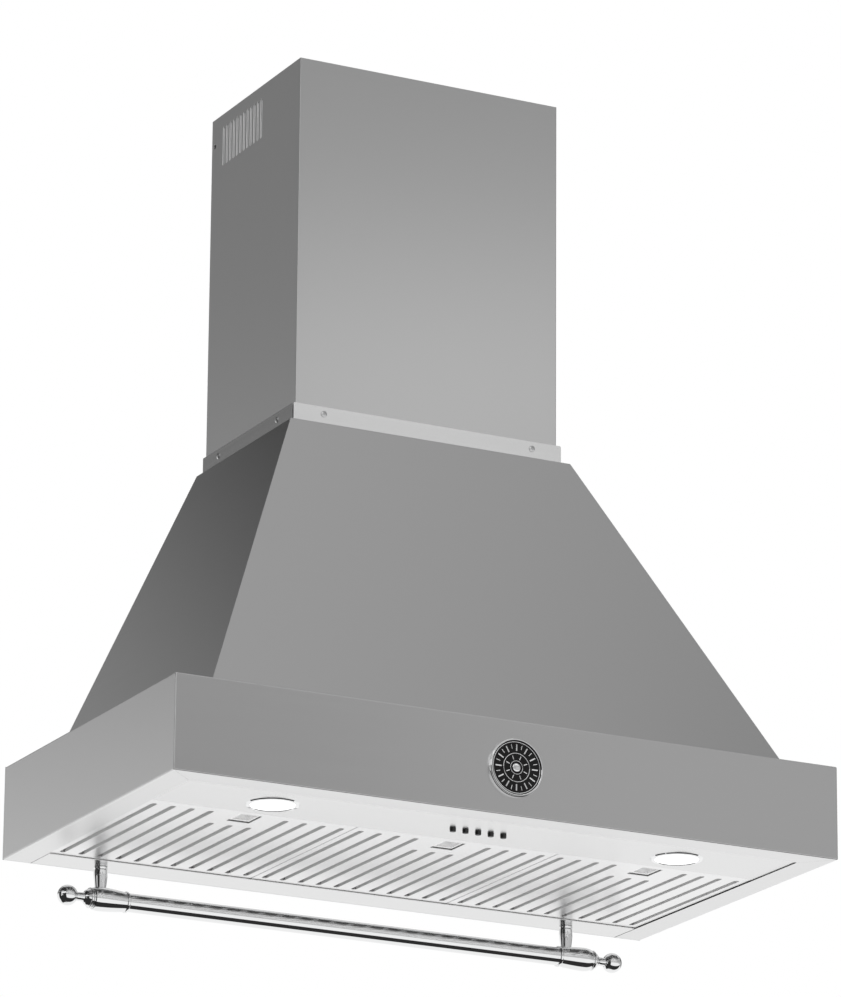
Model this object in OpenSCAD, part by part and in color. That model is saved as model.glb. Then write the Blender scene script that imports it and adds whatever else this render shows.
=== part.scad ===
/* [Hood body] */
// Width of the hood
hood_w = 900; // [860:10:1200]
// Depth of the hood from the wall to its front
hood_d = 500; // [480:5:600]
// Height of the band round the foot
band_h = 118; // [100:1:160]
// Thickness of the steel sheet
sheet = 1; // [0.8:0.1:1.5]
// Width of the rim turned in under the band
rim_w = 37; // [30:1:50]
// Width of the flanges that lie on another sheet
lap = 12; // [10:1:16]

/* [Canopy] */
// Step from the side of the band in to the canopy
side_step = 59; // [40:1:80]
// Step from the front of the band in to the canopy
front_step = 27.5; // [20:0.5:50]
// Height of the sloping canopy
canopy_h = 417; // [400:1:480]
// Ledge between the slope and the collar at the sides
side_ledge = 8; // [5:0.5:15]
// Ledge between the slope and the collar at the front
front_ledge = 9.3; // [5:0.1:15]
// Height of the collar round the chimney
collar_h = 24.5; // [20:0.5:40]
// Space between the collar and the chimney
collar_gap = 3.4; // [2:0.1:5]
// Radius of the corners of the front collar
collar_r = 2; // [1:0.5:4]
// Distance of the front collar screws from the middle
screw_x = 147; // [100:1:170]
// Radius of a collar screw
screw_r = 2; // [1.5:0.1:2.5]
// Radius of a collar screw's head
head_r = 4.2; // [3.5:0.1:5]
// Height of a collar screw's head
head_h = 2; // [1.5:0.1:3]

/* [Wall fixing] */
// Distance between the wall bolts along X
wall_bolt_x = 300; // [260:10:340]
// Distance between the wall bolts along Z
wall_bolt_z = 270; // [200:10:300]
// Height of the lower wall bolts
wall_bolt_low = 200; // [180:10:220]
// Radius of the wall bolt holes
wall_bolt_r = 4; // [3:0.5:6]

/* [Chimney] */
// Width of the chimney
chimney_w = 369; // [350:1:390]
// Depth of the chimney
chimney_d = 261.5; // [255:0.5:280]
// Height of the chimney above its seat
chimney_h = 486.9; // [430:0.1:600]
// Width of the chimney's rear flanges
return_w = 20; // [15:1:30]
// Gap between the two chimney sections
slide_gap = 0.6; // [0.4:0.1:1]
// Number of vents in each side of the chimney
vent_n = 12; // [6:1:16]
// Distance from one vent to the next
vent_pitch = 10.2; // [9:0.1:12]
// Width of a vent
vent_w = 5; // [3:0.5:6]
// Length of a vent
vent_l = 54; // [30:1:70]
// Distance of the first vent from the wall
vent_y = 36; // [34:1:50]
// Distance of the vents from the chimney's top
vent_top = 17.6; // [12:0.1:30]
// Radius of the fixing hole near the chimney's top
fix_r = 3; // [2:0.5:4]

/* [Underside] */
// Depth of the rear crosspiece
rear_d = 56; // [54:1:64]
// Depth of the light panel as it shows
light_d = 107.5; // [100:0.5:130]
// Distance of the lamps from the middle
lamp_x = 276; // [200:1:300]
// Distance of lamps and buttons from the front rim
lamp_inset = 58; // [48:1:60]
// Radius of a lamp's bezel
lamp_r = 33; // [30:0.5:36]
// Radius of a lamp's lens
lens_r = 28.2; // [25:0.2:29]

/* [Buttons] */
// Distance from one button to the next
button_pitch = 17.25; // [14:0.25:20]
// Radius of a button
button_r = 3.8; // [3:0.1:4.5]
// Length of a button below the panel
button_out = 4; // [3:0.5:6]
// Travel of a button
button_travel = 2.5; // [1.5:0.5:3]

/* [Filters] */
// Gap between neighbouring filters
filter_gap = 1; // [0.8:0.1:1.5]
// Height of a filter's frame
filter_h = 10.7; // [10:0.1:14]
// Least distance from a filter's side to the middle of its outer slot
slot_margin = 12; // [11:0.5:20]
// Distance from one slot to the next
slot_pitch = 24.9; // [22:0.1:25]
// Width of a slot
slot_w = 7; // [5:0.5:8]
// Distance of the slots from a filter's ends
slot_end = 14.5; // [12:0.5:20]
// Length cut off the slots behind the latch
slot_cut = 52; // [50:1:60]
// Height of the lip along each slot
slot_lip = 3.2; // [2:0.1:4]
// Width of a baffle channel
baffle_w = 15; // [14:0.5:17]
// Thickness of the filter's sheet
filter_t = 1; // [0.8:0.1:1.2]

/* [Filter latch] */
// Width of the opening over the latch
latch_open_w = 30; // [28:1:34]
// Length of the opening over the latch
latch_open_l = 38; // [36:1:42]
// Width of the finger pocket
pocket_w = 20; // [18:1:22]
// Length of the finger pocket
pocket_l = 26; // [22:1:27]
// Depth of the finger pocket
pocket_h = 7.5; // [6:0.5:8]
// Travel of the latch
latch_travel = 5; // [3:0.5:6]

/* [Rail] */
// Distance between the middles of the rail's end balls
rail_w = 764.8; // [700:0.2:800]
// Distance of the rail from the wall
rail_y = 48; // [46:1:56]
// Drop of the rail's middle below the hood
rail_drop = 47; // [42:1:60]
// Radius of the rail tube
tube_r = 11.6; // [10:0.1:13]
// Wall of the rail tube
tube_wall = 1.5; // [1:0.1:2]
// Length of the tube between its sleeves
tube_l = 604; // [560:2:620]
// Largest radius of a sleeve
sleeve_r = 15; // [14:0.1:17]
// Radius of the end balls
ball_r = 12.7; // [11:0.1:14]
// Distance of the posts from the middle
post_x = 328; // [322:1:336]
// Distance of the posts from the wall
post_y = 24; // [18:1:26]
// Radius of a post at its top
post_r = 8.7; // [7.5:0.1:10]
// Radius of a post at its foot
post_foot_r = 6.3; // [5.5:0.1:7]

/* [Badge] */
// Radius of the badge disc
badge_r = 34; // [25:0.5:40]
// Height of the badge's middle
badge_z = 58.9; // [45:0.1:75]
// Height of the badge's bezel above the band
badge_h = 5; // [3:0.5:7]

/* [Blower] */
// Radius of the impeller
impeller_r = 75; // [68:1:78]
// Length of the impeller
impeller_l = 120; // [100:2:130]
// Number of blades in the impeller
blade_n = 36; // [24:2:40]
// Depth of a blade along the radius
blade_d = 14; // [10:1:18]
// Angle about the shaft from a blade's inner edge to its outer edge
blade_turn = 11; // [6:1:14]
// Thickness of a blade
blade_t = 0.8; // [0.6:0.1:1.2]
// Distance of the impeller's shaft from the wall
shaft_y = 190; // [185:1:200]
// Height of the impeller's shaft
shaft_z = 370; // [360:1:375]
// Radius of the motor shaft
shaft_r = 4; // [3:0.5:5]
// Running clearance of the shaft
shaft_clear = 0.05; // [0.03:0.01:0.1]
// Smallest radius of the volute
volute_min = 84; // [82:1:88]
// Largest radius of the volute
volute_max = 120; // [112:1:124]
// Height of the volute's outlet above the shaft
outlet_h = 125; // [118:1:130]
// Width of the volute's outlet
outlet_w = 110; // [100:1:112]
// Radius of the motor
motor_r = 40; // [34:1:44]
// Outer radius of the duct spigot
duct_r = 75; // [72:0.5:76]
// Length of the duct spigot
duct_l = 50; // [40:1:60]

/* [Electrical] */
// Width of the junction box
box_w = 110; // [80:1:120]
// Height of the junction box
box_h = 80; // [60:1:100]
// Depth of the junction box
box_d = 50; // [40:1:60]
// Radius of the bore in the cable gland
gland_r = 5.5; // [4:0.5:7]

/* [Hidden] */
$fn = 64;

// clearances
seat = 0.3;
loose = 0.2;

// the band and the canopy
half_w = hood_w / 2;
canopy_foot_x = half_w - side_step;
canopy_foot_y = hood_d - front_step;
collar_x = chimney_w / 2 + collar_gap + sheet;
collar_y = chimney_d + collar_gap + sheet;
canopy_top_x = collar_x + side_ledge;
canopy_top_y = collar_y + front_ledge;
canopy_z = band_h + canopy_h;
collar_z = canopy_z + collar_h;
seat_z = canopy_z - sheet;
screw_z = canopy_z + collar_h * 0.6;
corner_gap = 3;
wall_bolt_high = wall_bolt_low + wall_bolt_z;

// the underside
rim_x = half_w - rim_w;
rim_y = hood_d - rim_w;
light_rear = rim_y - light_d;
lamp_y = rim_y - lamp_inset;
hinge_z = sheet + seat;
lens_t = 2.4;
lamp_bore_r = lens_r + 2;
can_h = 22;
can_wall = 1.5;
can_foot = 6;
can_taper = 3;
can_floor = 9.5;
panel_lip = 14;
crosspiece_flange = 20;

// the buttons and their housing, whose bores widen at a ledge above the panel
button_n = 5;
button_ledge = 5.5;
button_flange = 2;
button_head = 4.5;
flange_r = button_r + 1.5;
housing_h = 20;
housing_d = 28;
housing_w = button_n * button_pitch + 12;
housing_tab = [12, 14, 3];
board_t = 1.6;

// the filters
filter_w = (2 * rim_x - 2 * filter_gap) / 3 - filter_gap / 3;
filter_pitch = filter_w + filter_gap;
filter_front = light_rear - 0.6;
filter_rear = rear_d + 4;
filter_top = hinge_z + filter_h;
slot_n = 2 * floor((filter_w / 2 - slot_margin) / slot_pitch) + 1;
slot_front = filter_front - slot_end;
slot_rear = rear_d + slot_end - 4.5;
latch_rear = slot_front - slot_cut + 6;
latch_mid = slot_front - latch_open_l / 2 + 4;
latch_z = hinge_z + filter_t + seat;
latch_plate_w = latch_open_w + 8;
latch_t = 1;
pocket_mid = latch_mid + latch_travel / 2;

// the chimney
chimney_top = seat_z + chimney_h;
upper_x = chimney_w / 2 - sheet - slide_gap;
upper_y = chimney_d - sheet - slide_gap;
upper_back = sheet + slide_gap;
upper_top = chimney_top - 2.6;
bracket_t = 1.5;
bracket_h = 25;
bracket_top = upper_top - 8;
bracket_tab = 30;
bracket_bolt_x = 120;
bracket_bolt_r = 3;
upper_screw_y = 14;
upper_screw_r = 2;
upper_nut_r = 4;

// the blower
volute_start = 60;
duct_y = shaft_y - volute_max + outlet_w / 2;
outlet_z = shaft_z + outlet_h;
scroll_t = 1.2;
cheek_in = impeller_l / 2 + 5;
cheek_out = cheek_in + scroll_t;
inlet_r = impeller_r - blade_d + 2;
bracket_rise = 140;
bracket_foot = 30;
blade_edge = 0.6;
ring_t = 2;
plate_r = impeller_r - blade_d * 0.4;
hub_r = 12;
hub_from = -3;
hub_to = 14;
shaft_from = -50;
shaft_to = 18;
motor_gap = 6;
motor_l = 46;
motor_chamfer = 4;
motor_neck_r = 18;
fin_from = 12;
fin_h = 2;
fin_t = 2;
spider_t = 3;
spider_angles = [90, 210, 330];
collar_base = 2;
spigot_wall = 1.8;
spigot_ledge = 5;
flap_z = outlet_z + 16;
flap_t = 1.5;
flap_pin_r = 1.5;
flap_pin_y = 4.5;

// the parts on the mains side, beside the blower and under the chimney
box_x = cheek_out + bracket_foot + 3.3;
box_z = wall_bolt_low + 30;
box_wall = 1.5;
capacitor_r = 14;
capacitor_l = 46;
driver_x = -(lamp_x - 66);
driver_size = [96, 40, 24];
driver_foot = [12, 16, 2.5];

// the rail
stud_r = 3;
arm_r = 4.4;
washer_r = 8;
washer_t = 1.2;
nut_r = 5.8;
nut_t = 5;
sleeve_in = tube_l / 2;
ball_x = rail_w / 2;
finial_x = ball_x - 34;

function unit(v) = v / norm(v);
function left_of(a, b) = let (d = unit(b - a)) [-d[1], d[0]];
function shift_corner(p, i, t) =
    let (n = len(p))
    let (n0 = i > 0 ? left_of(p[i - 1], p[i]) : left_of(p[0], p[1]))
    let (n1 = i < n - 1 ? left_of(p[i], p[i + 1]) : n0)
    p[i] + t * (n0 + n1) / (1 + n0 * n1);
function shifted(p, t) = [for (i = [0:len(p) - 1]) shift_corner(p, i, t)];
function backwards(p) = [for (i = [len(p) - 1:-1:0]) p[i]];
function bent(p, t) = concat(p, backwards(shifted(p, t)));
function polar(r, a) = [r * cos(a), r * sin(a)];

// turns a profile drawn as [Y, Z] so that it runs along X
module along_x(from, to) {
    translate([from, 0, 0])
        rotate([90, 0, 90])
            linear_extrude(to - from)
                children();
}

// turns a profile drawn as [X, Z] so that it runs along Y
module along_y(from, to) {
    translate([0, to, 0])
        rotate([90, 0, 0])
            linear_extrude(to - from)
                children();
}

module both_sides() {
    children();
    mirror([1, 0, 0])
        children();
}

module stadium(w, l) {
    square([w, l - w], center = true);
    for (s = [-1, 1])
        translate([0, s * (l - w) / 2])
            circle(d = w, $fn = 32);
}

module front_fascia() {
    color("silver") {
        translate([-half_w, -hood_d, 0])
            cube([hood_w, sheet, band_h]);
        linear_extrude(sheet)
            polygon([[-half_w + sheet, -hood_d + sheet], [half_w - sheet, -hood_d + sheet],
                [rim_x, -rim_y], [-rim_x, -rim_y]]);
        translate([0, 0, band_h - sheet])
            linear_extrude(sheet)
                polygon([[-half_w + sheet, -hood_d + sheet], [half_w - sheet, -hood_d + sheet],
                    [canopy_foot_x - lap, -canopy_foot_y + lap],
                    [-canopy_foot_x + lap, -canopy_foot_y + lap]]);
    }
}

module left_fascia() {
    color("silver") {
        translate([-half_w, -hood_d + sheet, 0])
            cube([sheet, hood_d - 2 * sheet, band_h]);
        linear_extrude(sheet)
            polygon([[-half_w + sheet, -hood_d + sheet], [-rim_x, -rim_y],
                [-rim_x, -sheet], [-half_w + sheet, -sheet]]);
        translate([0, 0, band_h - sheet])
            linear_extrude(sheet)
                polygon([[-half_w + sheet, -hood_d + sheet],
                    [-canopy_foot_x + lap, -canopy_foot_y + lap],
                    [-canopy_foot_x + lap, -sheet], [-half_w + sheet, -sheet]]);
    }
}

module right_fascia() {
    mirror([1, 0, 0])
        left_fascia();
}

// outer faces of the front panel, from its foot flange to its collar, as [Y, Z]
front_line = [[-canopy_foot_y + lap, band_h], [-canopy_foot_y, band_h],
    [-canopy_top_y, canopy_z], [-collar_y, canopy_z], [-collar_y, collar_z]];
// outer faces of the left panel, as [X, Z]
side_line = [[-canopy_foot_x + lap, band_h], [-canopy_foot_x, band_h],
    [-canopy_top_x, canopy_z], [-collar_x, canopy_z], [-collar_x, collar_z]];

module front_outline() {
    polygon([[-canopy_foot_x, band_h], [canopy_foot_x, band_h],
        [canopy_top_x, canopy_z], [-canopy_top_x, canopy_z]]);
    translate([-collar_x, canopy_z])
        square([2 * collar_x, collar_h - collar_r]);
    translate([-collar_x + collar_r, canopy_z])
        square([2 * (collar_x - collar_r), collar_h]);
    for (s = [-1, 1])
        translate([s * (collar_x - collar_r), collar_z - collar_r])
            circle(collar_r, $fn = 32);
}

module canopy_front() {
    color("gray")
        difference() {
            intersection() {
                along_x(-half_w, half_w)
                    polygon(bent(front_line, -sheet));
                along_y(-hood_d, 0)
                    front_outline();
            }
            collar_holes(screw_r + loose);
        }
}

module canopy_left() {
    inner = shifted(front_line, -sheet);
    last = len(inner) - 1;
    corner_y = inner[last][0];
    color("gray")
        difference() {
            intersection() {
                along_y(-hood_d, -sheet)
                    polygon(bent(side_line, -sheet));
                along_x(-half_w, 0)
                    polygon(concat([[inner[0][0], band_h], inner[0]],
                        [for (i = [1:last - 1]) inner[i]],
                        [[corner_y, canopy_z], [corner_y + corner_gap, canopy_z],
                        [corner_y + corner_gap, collar_z], [0, collar_z], [0, band_h]]));
            }
            collar_holes(screw_r + loose);
        }
}

module canopy_right() {
    mirror([1, 0, 0])
        canopy_left();
}

// places what is drawn along +Z at each collar screw, pointing out of the hood
module at_collar_screws() {
    for (x = [-screw_x, screw_x])
        translate([x, -collar_y, screw_z])
            rotate([90, 0, 0])
                children();
    for (s = [-1, 1], y = [0.18, 0.82])
        translate([s * collar_x, -collar_y * y, screw_z])
            rotate([0, s * 90, 0])
                children();
}

module collar_holes(r) {
    at_collar_screws()
        translate([0, 0, -collar_gap - 2 * sheet - 0.5])
            cylinder(r = r, h = collar_gap + 2 * sheet + 1, $fn = 24);
}

module collar_screws() {
    shank = collar_gap + 2 * sheet - 0.2;
    color("gainsboro")
        at_collar_screws() {
            translate([0, 0, -shank])
                cylinder(r = screw_r, h = shank, $fn = 24);
            cylinder(r = head_r, h = head_h * 0.4, $fn = 32);
            translate([0, 0, head_h * 0.4])
                difference() {
                    rotate_extrude($fn = 48)
                        intersection() {
                            square([head_r, head_h * 0.6]);
                            translate([0, head_h * 0.6 - head_r * 1.6])
                                circle(head_r * 1.6, $fn = 64);
                        }
                    for (a = [0, 90])
                        rotate(a)
                            translate([-head_r * 0.55, -0.4, 0.3])
                                cube([head_r * 1.1, 0.8, head_h]);
                }
        }
}

module back_panel() {
    color("silver")
        difference() {
            along_y(-sheet, 0)
                polygon([[-half_w, 0], [half_w, 0], [half_w, band_h],
                    [canopy_foot_x, band_h], [canopy_top_x, seat_z],
                    [-canopy_top_x, seat_z], [-canopy_foot_x, band_h], [-half_w, band_h]]);
            for (x = [-wall_bolt_x, wall_bolt_x], z = [wall_bolt_low, wall_bolt_high])
                translate([x / 2, 1, z])
                    rotate([90, 0, 0])
                        cylinder(r = wall_bolt_r, h = sheet + 2, $fn = 32);
        }
}

module rear_crosspiece() {
    color("gainsboro")
        difference() {
            along_x(-rim_x, rim_x)
                polygon(bent([[-rear_d, 0], [-sheet, 0], [-sheet, crosspiece_flange]], sheet));
            for (s = [-1, 1])
                translate([s * post_x, -post_y, -1])
                    cylinder(r = stud_r + loose, h = sheet + 2, $fn = 32);
        }
}

function button_x(i) = (i - (button_n - 1) / 2) * button_pitch;

module light_panel() {
    wide = rim_x + lap;
    color("gainsboro")
        difference() {
            union() {
                translate([-wide, -rim_y - lap, sheet])
                    cube([2 * wide, light_d + lap, sheet]);
                translate([-rim_x, -light_rear - sheet, sheet])
                    cube([2 * rim_x, sheet, panel_lip]);
            }
            for (x = [-lamp_x, lamp_x])
                translate([x, -lamp_y, 0])
                    cylinder(r = lamp_bore_r, h = 3 * sheet);
            for (i = [0:button_n - 1])
                translate([button_x(i), -lamp_y, 0])
                    cylinder(r = button_r + seat, h = 3 * sheet, $fn = 32);
        }
}

module at_lamps() {
    for (x = [-lamp_x, lamp_x])
        translate([x, -lamp_y, sheet])
            children();
}

// rings are drawn from the panel's lower face, which is at height 0 here
module lamp_bezels() {
    color("silver")
        at_lamps()
            rotate_extrude()
                polygon([[lens_r - 1, -1.2], [lens_r - 0.4, -1.8], [lamp_r - 1.2, -1.2],
                    [lamp_r, 0], [lens_r + 1.7, 0], [lens_r + 1.7, 9],
                    [lens_r + 0.4, 9], [lens_r + 0.4, 0], [lens_r - 1, 0]]);
}

module lamp_lenses() {
    color("white")
        at_lamps()
            cylinder(r = lens_r, h = lens_t);
}

module lamp_housings() {
    inner = lamp_bore_r;
    outer = inner + can_wall;
    foot = inner + can_foot;
    step = lens_r - 2;
    top = sheet + can_h;
    color("dimgray")
        at_lamps()
            rotate_extrude()
                polygon([[inner, sheet], [foot, sheet], [foot, sheet + can_wall],
                    [outer, sheet + can_wall], [outer, top - can_taper],
                    [inner - can_taper, top], [0, top],
                    [0, lens_t], [step, lens_t], [step, can_floor], [inner, can_floor]]);
}

module switch_housing() {
    w = housing_w;
    tab = housing_tab;
    color("dimgray")
        difference() {
            union() {
                translate([-w / 2, -lamp_y - housing_d / 2, 2 * sheet])
                    cube([w, housing_d, housing_h]);
                for (s = [-1, 1])
                    translate([s * (w + tab[0]) / 2 - tab[0] / 2, -lamp_y - tab[1] / 2, 2 * sheet])
                        cube(tab);
            }
            for (i = [0:button_n - 1])
                translate([button_x(i), -lamp_y, 0]) {
                    cylinder(r = button_r + seat, h = 12, $fn = 32);
                    translate([0, 0, 2 * sheet + button_ledge])
                        cylinder(r = flange_r + seat, h = 11, $fn = 32);
                }
        }
}

module control_board() {
    w = housing_w - 6;
    z = 2 * sheet + housing_h;
    color("darkgreen") {
        translate([-w / 2, 1 - lamp_y - housing_d / 2, z])
            cube([w, housing_d - 2, board_t]);
        for (i = [0:button_n - 1])
            translate([button_x(i) - 3, -lamp_y - 3, z + board_t])
                cube([6, 6, 4]);
        translate([-w / 2 + 4, -lamp_y + 6, z + board_t])
            cube([14, 6, 7]);
    }
}

module push_button(i) {
    top = 2 * sheet + button_ledge + seat;
    color("black")
        translate([button_x(i), -lamp_y, 0]) {
            rotate_extrude($fn = 48)
                polygon([[0, sheet - button_out], [button_r - 0.6, sheet - button_out],
                    [button_r, sheet - button_out + 0.6], [button_r, top],
                    [flange_r, top], [flange_r, top + button_flange],
                    [button_r - 1, top + button_flange], [button_r - 1, top + button_head],
                    [0, top + button_head]]);
        }
}

module led_driver() {
    color("whitesmoke")
        translate([driver_x, -lamp_y - driver_size[1] / 2 - 2, 2 * sheet]) {
            difference() {
                cube(driver_size);
                for (y = [10:5:30])
                    translate([8, y - 1, driver_size[2] - 1])
                        cube([60, 2, 2]);
            }
            for (x = [-driver_foot[0], driver_size[0]])
                translate([x, (driver_size[1] - driver_foot[1]) / 2, 0])
                    difference() {
                        cube(driver_foot);
                        translate([driver_foot[0] / 2, driver_foot[1] / 2, -1])
                            cylinder(r = 2, h = 5, $fn = 24);
                    }
        }
}

module junction_box() {
    wall = box_wall;
    color("gainsboro")
        translate([box_x, -sheet - box_d, box_z]) {
            difference() {
                cube([box_w, box_d, box_h]);
                translate([wall, wall, wall])
                    cube([box_w - 2 * wall, box_d - 2 * wall, box_h - 2 * wall]);
                translate([box_w / 2, box_d / 2, box_h - 2 * wall])
                    cylinder(r = gland_r + 3, h = 3 * wall);
            }
            for (z = [12, box_h - 12])
                translate([box_w / 2, 0, z])
                    rotate([90, 0, 0])
                        cylinder(r = 3, h = 1.8, $fn = 24);
        }
}

module cable_gland() {
    color("black")
        translate([box_x + box_w / 2, -sheet - box_d / 2, box_z + box_h])
            difference() {
                union() {
                    cylinder(r = gland_r + 6, h = 5, $fn = 6);
                    translate([0, 0, 5])
                        cylinder(r = gland_r + 3.4, h = 11);
                    translate([0, 0, 16])
                        rotate_extrude()
                            polygon([[0, 0], [gland_r + 3.4, 0], [gland_r + 1.6, 6], [0, 6]]);
                    translate([0, 0, -8])
                        cylinder(r = gland_r + 2.8, h = 8);
                }
                translate([0, 0, -9])
                    cylinder(r = gland_r, h = 40, $fn = 48);
            }
}

module motor_capacitor() {
    color("whitesmoke")
        translate([box_x + box_w + capacitor_r + 12, -sheet, box_z + box_h / 2])
            rotate([90, 0, 0]) {
                cylinder(r = capacitor_r - 4, h = 4, $fn = 6);
                translate([0, 0, 4])
                    rotate_extrude()
                        polygon([[0, 0], [capacitor_r, 0], [capacitor_r, capacitor_l - 2],
                            [capacitor_r - 2, capacitor_l], [0, capacitor_l]]);
            }
}

function volute(a) =
    let (share = (a - volute_start) / (360 - volute_start))
    polar(volute_min + (volute_max - volute_min) * share, a);

// the line of the volute's wall as [Y, Z] about the shaft, from the front of its outlet
volute_line = concat([[volute_max - outlet_w, outlet_h]],
    [for (a = [volute_start:10:360]) volute(a)], [[volute_max, outlet_h]]);

module at_shaft() {
    translate([0, -shaft_y, shaft_z])
        children();
}

module blower_scroll() {
    color("lightgray")
        at_shaft()
            along_x(-cheek_in, cheek_in)
                polygon(bent(volute_line, -scroll_t));
}

module blower_cheek() {
    tab_y = shaft_y - 20;
    along_x(cheek_in, cheek_out)
        difference() {
            union() {
                polygon(shifted(volute_line, -scroll_t));
                translate([0, -bracket_rise / 2])
                    square([tab_y, bracket_rise]);
            }
            circle(inlet_r);
        }
    translate([cheek_out, 0, 0])
        rotate([0, -90, 0])
            rotate_extrude()
                polygon([[inlet_r, 0], [inlet_r + 4, 0], [inlet_r + 4, scroll_t],
                    [inlet_r + 1.5, scroll_t + 3], [inlet_r, scroll_t + 3]]);
}

module blower_cheek_right() {
    color("lightgray")
        at_shaft()
            blower_cheek();
}

module blower_cheek_left() {
    mirror([1, 0, 0])
        blower_cheek_right();
}

module blower_brackets() {
    leg = shaft_y - volute_max - 12;
    color("silver")
        both_sides()
            translate([cheek_out, -sheet, shaft_z - bracket_rise / 2])
                linear_extrude(bracket_rise)
                    polygon(bent([[0, -leg], [0, 0], [bracket_foot, 0]], -2));
}

module motor() {
    neck = cheek_out - motor_gap;
    edge = motor_r - motor_chamfer;
    color("dimgray")
        at_shaft()
            rotate([0, -90, 0])
                difference() {
                    union() {
                        translate([0, 0, motor_gap])
                            rotate_extrude()
                                polygon([[0, 0], [edge, 0], [motor_r, motor_chamfer],
                                    [motor_r, motor_l - motor_chamfer], [edge, motor_l],
                                    [motor_neck_r, motor_l], [motor_neck_r, neck], [0, neck]]);
                        for (a = [0:30:330])
                            rotate(a)
                                translate([motor_r - 1, -fin_t / 2, fin_from])
                                    cube([fin_h + 1, fin_t, motor_l - fin_from]);
                    }
                    translate([0, 0, -1])
                        cylinder(r = shaft_r + shaft_clear, h = 8 - shaft_from, $fn = 48);
                }
}

module motor_spider() {
    color("silver")
        at_shaft()
            translate([-cheek_out, 0, 0])
                rotate([0, -90, 0])
                    linear_extrude(spider_t)
                        difference() {
                            union() {
                                difference() {
                                    circle(inlet_r + 12);
                                    circle(inlet_r + 1);
                                }
                                circle(22);
                                for (a = spider_angles)
                                    rotate(a)
                                        translate([10, -6])
                                            square([inlet_r - 4, 12]);
                            }
                            for (a = spider_angles)
                                rotate(a)
                                    translate([inlet_r + 6, 0])
                                        circle(2.5, $fn = 24);
                        }
}

// the line of one forward-curved blade, which ends inside its rings' two edges
blade_line = [for (s = [0:0.25:1])
    polar(impeller_r - blade_edge - (blade_d - 2 * blade_edge) * (1 - s),
        blade_turn * pow(s, 2))];

// turns what is drawn about +Z so that it lies about the shaft
module on_shaft() {
    at_shaft()
        rotate([0, 90, 0])
            children();
}

module blades(half) {
    for (i = [0:blade_n - 1])
        rotate(i * 360 / blade_n)
            translate([0, 0, -half])
                linear_extrude(2 * half)
                    polygon(bent(blade_line, blade_t));
}

// the wheel's plate and hub, with a slot in the rim for each blade
module impeller() {
    color("gainsboro")
        on_shaft()
            difference() {
                union() {
                    translate([0, 0, -ring_t / 2])
                        cylinder(r = plate_r, h = ring_t);
                    translate([0, 0, hub_from])
                        cylinder(r = hub_r, h = hub_to - hub_from);
                }
                translate([0, 0, hub_from - 1])
                    cylinder(r = shaft_r + shaft_clear, h = hub_to - hub_from + 2, $fn = 48);
                blades(ring_t);
            }
}

module impeller_blades() {
    color("lightgray")
        on_shaft()
            blades(impeller_l / 2 - ring_t);
}

module impeller_rings() {
    color("gainsboro")
        on_shaft()
            for (z = [-impeller_l / 2, impeller_l / 2 - ring_t])
                translate([0, 0, z])
                    difference() {
                        cylinder(r = impeller_r, h = ring_t);
                        translate([0, 0, -1])
                            cylinder(r = impeller_r - blade_d, h = ring_t + 2);
                    }
}

module motor_shaft() {
    color("lightgray")
        on_shaft()
            translate([0, 0, shaft_from])
                cylinder(r = shaft_r, h = shaft_to - shaft_from, $fn = 48);
}

module at_duct() {
    translate([0, -duct_y, outlet_z])
        children();
}

module duct_collar() {
    wall = spigot_wall;
    base = 2 * duct_r + 8;
    ledge_z = flap_z - outlet_z - flap_t / 2 - seat;
    bar = 2 * (flap_pin_y - flap_pin_r - seat);
    color("dimgray")
        at_duct()
            difference() {
                union() {
                    translate([-base / 2, -base / 2, 0])
                        cube([base, base, collar_base]);
                    cylinder(r = duct_r, h = collar_base + duct_l, $fn = 96);
                }
                translate([0, 0, -1])
                    cylinder(r = duct_r - wall - spigot_ledge, h = duct_l + 10, $fn = 96);
                translate([0, 0, ledge_z])
                    cylinder(r = duct_r - wall, h = duct_l + 10, $fn = 96);
                for (s = [-1, 1])
                    translate([-duct_r - 1, s * flap_pin_y, flap_z - outlet_z])
                        rotate([0, 90, 0])
                            cylinder(r = flap_pin_r + 0.08, h = 2 * duct_r + 2, $fn = 32);
            }
    color("dimgray")
        at_duct()
            intersection() {
                translate([-duct_r, -bar / 2, ledge_z - 3])
                    cube([2 * duct_r, bar, 6]);
                cylinder(r = duct_r - wall / 2, h = duct_l, $fn = 96);
            }
}

module damper_flap() {
    r = duct_r - spigot_wall - 1;
    color("black")
        translate([0, -duct_y, flap_z]) {
            translate([0, 0, -flap_t / 2])
                linear_extrude(flap_t)
                    intersection() {
                        circle(r, $fn = 96);
                        translate([-r, -r])
                            square([2 * r, r - flap_pin_y]);
                    }
            translate([-duct_r + 0.3, -flap_pin_y, 0])
                rotate([0, 90, 0])
                    cylinder(r = flap_pin_r, h = 2 * duct_r - 0.6, $fn = 32);
        }
}

module damper_flap_front() {
    damper_flap();
}

module damper_flap_rear() {
    translate([0, -2 * duct_y, 0])
        mirror([0, 1, 0])
            damper_flap();
}

// three sides of a frame, open to the wall, as [X, Y]
function three_sides(x, y, back) = [[-x, -back], [-x, -y], [x, -y], [x, -back]];

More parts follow.
